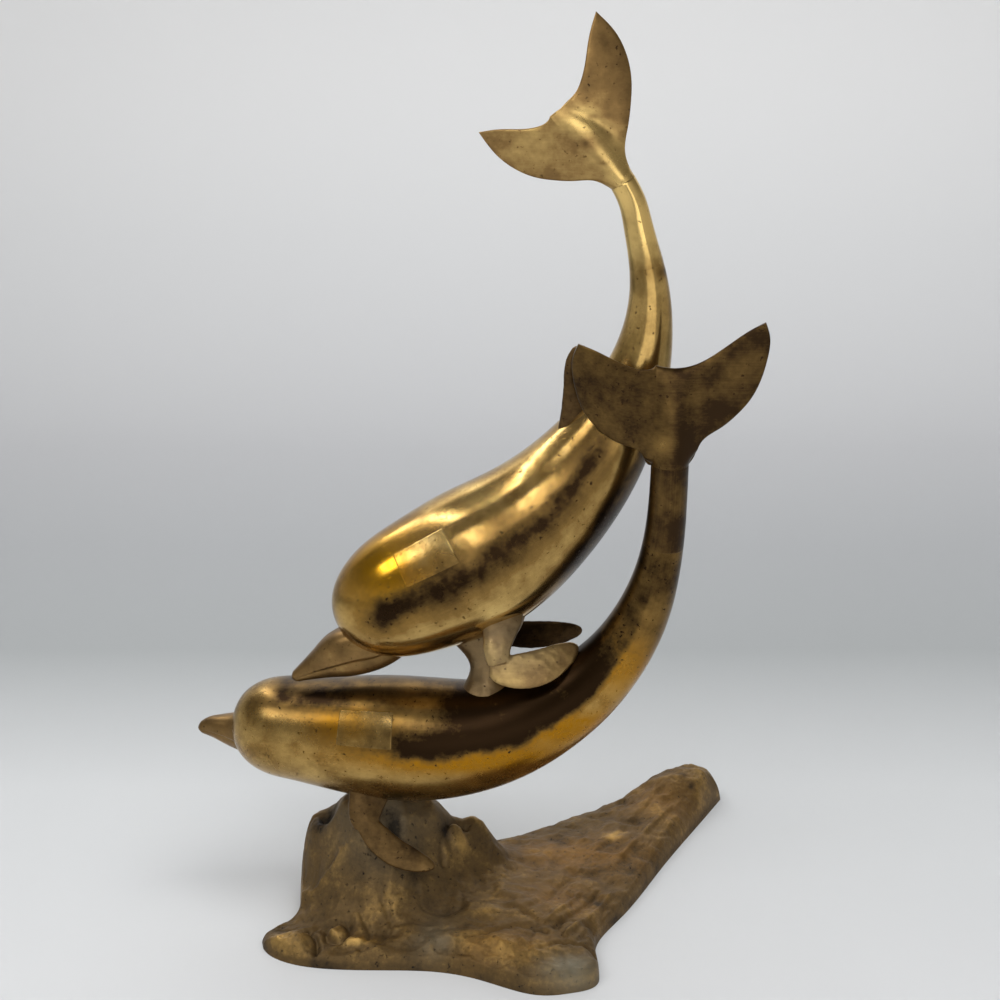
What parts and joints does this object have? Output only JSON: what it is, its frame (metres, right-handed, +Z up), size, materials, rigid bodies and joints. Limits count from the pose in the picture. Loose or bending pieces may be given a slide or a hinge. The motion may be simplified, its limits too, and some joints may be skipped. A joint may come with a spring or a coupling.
{
  "type": "dolphin sculpture",
  "caption": "Brass sculpture of two leaping dolphins, one above the other, brazed to a rough rock base that stands free on its flat rim.",
  "frame": {"origin": "middle of the sculpture's box on the floor plane, under the rock base", "axes": "+Z up from the floor to the raised flukes, +X from the beaks towards the lower dolphin's tail, +Y away from the viewer of the sculpture's open side"},
  "size_m": [0.3201, 0.2357, 0.4963],
  "materials": {
    "polished_brass": "polished with a thin brown patina",
    "dull_brass": "satin with a brown patina",
    "brown_patina": "dark brown patina",
    "rock_bronze": "rough cast with a brown patina",
    "braze_metal": "bare braze metal"
  },
  "bodies": {
    "root": {"base_casting": "rock_bronze", "lower_body": "polished_brass", "lower_core_cover": "polished_brass", "lower_tail_stock": "brown_patina", "lower_fluke": "brown_patina", "lower_beak": "dull_brass", "lower_near_pectoral_fin": "dull_brass", "lower_far_pectoral_fin": "dull_brass", "lower_dorsal_fin": "dull_brass", "dorsal_fin_braze": "braze_metal", "upper_body": "polished_brass", "upper_core_cover": "polished_brass", "upper_tail_stock": "polished_brass", "upper_fluke": "dull_brass", "upper_beak": "dull_brass", "upper_near_pectoral_fin": "dull_brass", "upper_far_pectoral_fin": "dull_brass", "upper_dorsal_fin": "dull_brass"}
  },
  "joints": []
}
